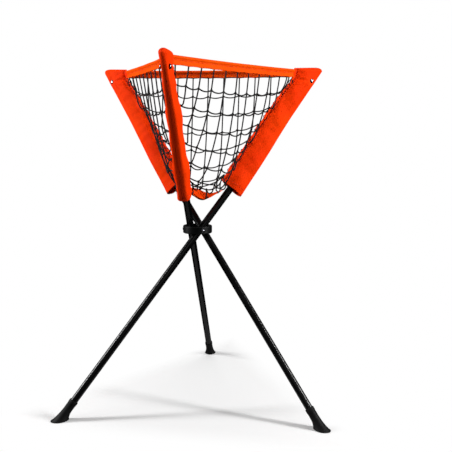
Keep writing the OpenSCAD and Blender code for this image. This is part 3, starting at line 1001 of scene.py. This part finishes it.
def makeNet(panel, p, seed):
    net = Net(panel, p, seed)
    net.hang()
    for leg, sign in ((panel.legX, -1), (panel.legY, 1)):
        tip = panel.local(leg.upright(p["tipOut"], p["tipUp"] - leg.pivot[2] / mm, 0))
        rimCorner = np.array([panel.reach, sign * panel.half, p["bandTop"]])
        rimMiddle = np.array([panel.reach, 0, p["bandTop"] - p["bandSag"]])
        lowCorner = panel.side(leg, 0.88)
        seam = unit(rimCorner - lowCorner)
        foot = rimCorner + ((rimMiddle - rimCorner) @ seam) * seam
        planes = {"upper": (foot, rimMiddle), "lower": (tip, tip * [1, 0, 1])}
        shares = {part: (start, (end - start) / ((end - start) @ (end - start)))
                  for part, (start, end) in planes.items()}
        parts = {"upper": [], "lower": []}

        def over(points):
            values = [(points - shares[k][0]) @ shares[k][1] for k in ("upper", "lower")]
            return values[0] - values[1]

        def add(path, radius, twist):
            for stretch, isUpper in splitPath(path, over(path)):
                if len(stretch) > 1:
                    line = panel.world(*stretch.T)
                    cord = cordPart(line, radius * mm, 6, panel.out, twist)
                    parts["upper" if isUpper else "lower"].append(cord)

        for number, (chain, _) in enumerate(net.ropes):
            line = net.x[chain]
            k = np.linspace(0, 1, len(chain))
            fine = np.linspace(0, 1, 13)
            path = np.stack([through(fine, k, line[:, axis]) for axis in range(3)], axis=1)
            if net.middle[chain[0]] and net.middle[chain[-1]]:
                path[:, 1] = 0
                if sign > 0:
                    add(path, p["twine"], number * 0.01)
                continue
            for stretch, right in splitPath(path, path[:, 1] + 1e-7):
                if right == (sign > 0) and len(stretch) > 1:
                    add(stretch, p["twine"], number * 0.01)
        # the rope along the inside of the band's lower edge, drawn down a little at each column
        run = np.linspace(0, panel.half - 2, 360)
        low = p["bandLow"] - bandLine(1 - run / panel.half, p)
        turn = 2 * math.pi * run / p["mesh"]
        path = np.stack([panel.reach - 1.2 + 0.4 * np.sin(run * 0.3), sign * run,
                         low + 1.2 + 1.1 * np.abs(np.sin(turn / 2))], axis=1)
        add(path, 1.2, 0)
        for number, k in enumerate(net.knots):
            at = net.x[k]
            if (at[1] >= -1e-6) != (sign > 0):
                continue
            home = "upper" if over(at) >= 0 else "lower"
            parts[home].append(knotPart(panel.world(*at), panel, 0.7 + number * 1.3))
        for part, (start, end) in planes.items():
            piece = makePiece(f"net_{panel.name}_{leg.key}_{part}", parts[part])
            place(piece, None, looks["twine"], "net_cord", f"net_{panel.name}")
            tuple(panel.world(*start))
            tuple(panel.world(*end))
            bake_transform(piece)
    return net.stretch


# the floor: a cloth with three points, each tied beside a tube, whose edges curve in between the points
def makeFloor(p):
    tips = {key: leg.upright(p["tipOut"], p["tipUp"] - leg.pivot[2] / mm, 0) for key, leg in legs.items()}
    tipReach = np.hypot(p["tipOut"], p["legOffset"])

    def cloth(x, y, axis):
        other = np.cross(upward, axis)
        flat = (x[..., None] * axis + y[..., None] * other) * mm
        east, north = flat[..., 0] / mm, flat[..., 1] / mm
        height = floorHeight(east, north, p) + 0.5 * ripple(east, north, 77, 6, 22, 50)
        return flat + height[..., None] * mm * upward

    first = unit(tips["a"] * [1, 1, 0])
    turn = np.linspace(0, 2 * math.pi, 73)
    near = (turn + math.pi / 3) % (2 * math.pi / 3) - math.pi / 3
    reach = p["tipCut"] / np.cos(near)
    share = np.linspace(0, 1, 20)[:, None]
    points = cloth(share * reach * np.cos(turn), share * reach * np.sin(turn), first)
    points[:, -1] = points[:, 0]
    middle = makePiece("floor_middle", [gridPart(points, points[..., :2])], closed=False)
    solidify(middle, 0.9 * mm)
    place(middle, "hub", looks["floor"], "floor_cloth", "basket_floor")

    for key, leg in legs.items():
        axis = unit(tips[key] * [1, 1, 0])
        along = p["tipCut"] + (tipReach - p["tipCut"]) * np.linspace(0, 1, 46) ** 0.85
        k = (along - p["tipCut"]) / (tipReach - p["tipCut"])
        half = p["tipCut"] * math.sqrt(3) * (1 - k) ** 1.5
        half = half + 6.5 * k ** 0.6 * np.sqrt(np.clip(1 - k ** 7, 0, 1))
        xx, vv = np.meshgrid(along, np.linspace(-1, 1, 33), indexing="ij")
        points = cloth(xx, vv * half[:, None], axis)
        tip = makePiece(f"floor_tip_{key}", [gridPart(points, points[..., :2])], closed=False)
        solidify(tip, 0.9 * mm)
        place(tip, None, looks["floor"], "floor_cloth", "basket_floor")
        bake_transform(tip)


for number, panel in enumerate(sides):
    for leg, sign in ((panel.legX, -1), (panel.legY, 1)):
        makeBand(panel, leg, sign, basketSize, 100 + 10 * number + sign)
    print(f"net {panel.name}: rope stretch", round(makeNet(panel, basketSize, 50 + number), 3))
makeFloor(basketSize)
print("basket made")

# floor, lights and background

# the last two values set where the painted soft shadow, the light-grey lit floor inside the triangle of the feet,
# fades to plain white
stageLook = {"floor": 0.72, "floorSize": 14.0, "world": 0.07, "glow": 0.05, "bounce": 0.3,
             "paintedShadowFrom": 0.2, "paintedShadowTo": 0.3}
# each softbox: where it stands, where it points, its width, height and power
lamps = {
    "left": ((-2.35, -0.4, 1.3), (0, 0, 0.65), 0.26, 1.5, 78),
    "right": ((2.35, -0.5, 1.3), (0, 0, 0.65), 0.26, 1.5, 80),
    "above": ((0.0, 0.3, 3.2), (0, 0, 0), 2.0, 2.0, 30),
    "front": ((0.9, -3.4, 1.4), (0, 0, 0.6), 1.2, 1.2, 3),
}


# a pale floor that is plain white beyond the triangle of the three feet
# inside that triangle the lit floor reads light grey against the white: a painted soft shadow between the feet
def makeStage(p):
    size = p["floorSize"]
    x, y = np.meshgrid(np.linspace(-size, size, 3), np.linspace(-size, size, 3), indexing="ij")
    ground = makePiece("ground", [gridPart(np.stack([x, y, 0 * x], axis=-1), np.zeros(2))], closed=False)
    if ground.data.polygons[0].normal.z < 0:
        ground.data.flip_normals()
    material, t, shader = newMaterial("paleFloor", Roughness=0.7, Specular_IOR_Level=0.0)
    place3 = t.add("ShaderNodeTexCoord").outputs["Object"]
    # how far a spot lies from the middle, square to whichever side of that triangle it is furthest along
    far = 0.0
    for panel in sides:
        outward = tuple(map(float, -panel.out))
        reach = t.add("ShaderNodeVectorMath", {0: place3, 1: outward}, operation="DOT_PRODUCT")
        far = t.math("MAXIMUM", reach.outputs["Value"], far)
    # painted shadow: lit light-grey floor inside the triangle, giving way to plain white outside it
    paintedShadowFade = t.add("ShaderNodeMapRange", {0: far, 1: p["paintedShadowFrom"], 2: p["paintedShadowTo"], 3: 0.0, 4: 1.0},
                 interpolation_type="SMOOTHSTEP").outputs[0]
    # the glow is seen by the camera alone, so it lifts the floor without lighting the object from below
    seen = t.add("ShaderNodeLightPath").outputs["Is Camera Ray"]
    glow = t.add("ShaderNodeEmission", {"Strength": t.math("MULTIPLY", seen, p["glow"])}).outputs[0]
    # the floor gives back less light to the object than it shows
    tone = t.mix(seen, (p["bounce"],) * 3 + (1,), (p["floor"],) * 3 + (1,))
    t.tree.links.new(tone, shader.inputs["Base Color"])
    near = t.add("ShaderNodeAddShader", {0: shader.outputs[0], 1: glow}).outputs[0]
    plain = t.add("ShaderNodeEmission", {"Color": (1, 1, 1, 1), "Strength": seen}).outputs[0]
    both = t.add("ShaderNodeMixShader", {0: paintedShadowFade, 1: near, 2: plain}).outputs[0]
    t.tree.links.new(both, material.node_tree.nodes["Material Output"].inputs["Surface"])
    ground.data.materials.append(material)


def makeLamp(name, at, aim, width, height, power):
    data = bpy.data.lights.new(name, "AREA")
    data.shape = "RECTANGLE"
    data.size, data.size_y, data.energy = width, height, power
    lamp = bpy.data.objects.new(name, data)
    back = unit(np.subtract(at, aim).astype(float))
    right = unit(np.cross(upward, back))
    turned = Matrix(np.stack([right, np.cross(back, right), back], axis=1).tolist()).to_4x4()
    lamp.matrix_world = Matrix.Translation(at) @ turned
    bpy.context.scene.collection.objects.link(lamp)


# plain white behind the object, and a dimmer even light from all round
def makeWorld(p):
    world = bpy.data.worlds.new("studio")
    world.use_nodes = True
    bpy.context.scene.world = world
    world.node_tree.nodes.clear()
    t = Tree(world.node_tree)
    seen = t.add("ShaderNodeLightPath").outputs["Is Camera Ray"]
    plain = t.add("ShaderNodeBackground", {"Color": (1, 1, 1, 1), "Strength": 1.0}).outputs[0]
    dim = t.add("ShaderNodeBackground", {"Color": (1, 1, 1, 1), "Strength": p["world"]}).outputs[0]
    both = t.add("ShaderNodeMixShader", {0: seen, 1: dim, 2: plain}).outputs[0]
    t.add("ShaderNodeOutputWorld", {"Surface": both})


makeStage(stageLook)
makeWorld(stageLook)
for name, lamp in lamps.items():
    makeLamp(name, *lamp)
bpy.context.scene.view_settings.view_transform = "Standard"
print("studio made")
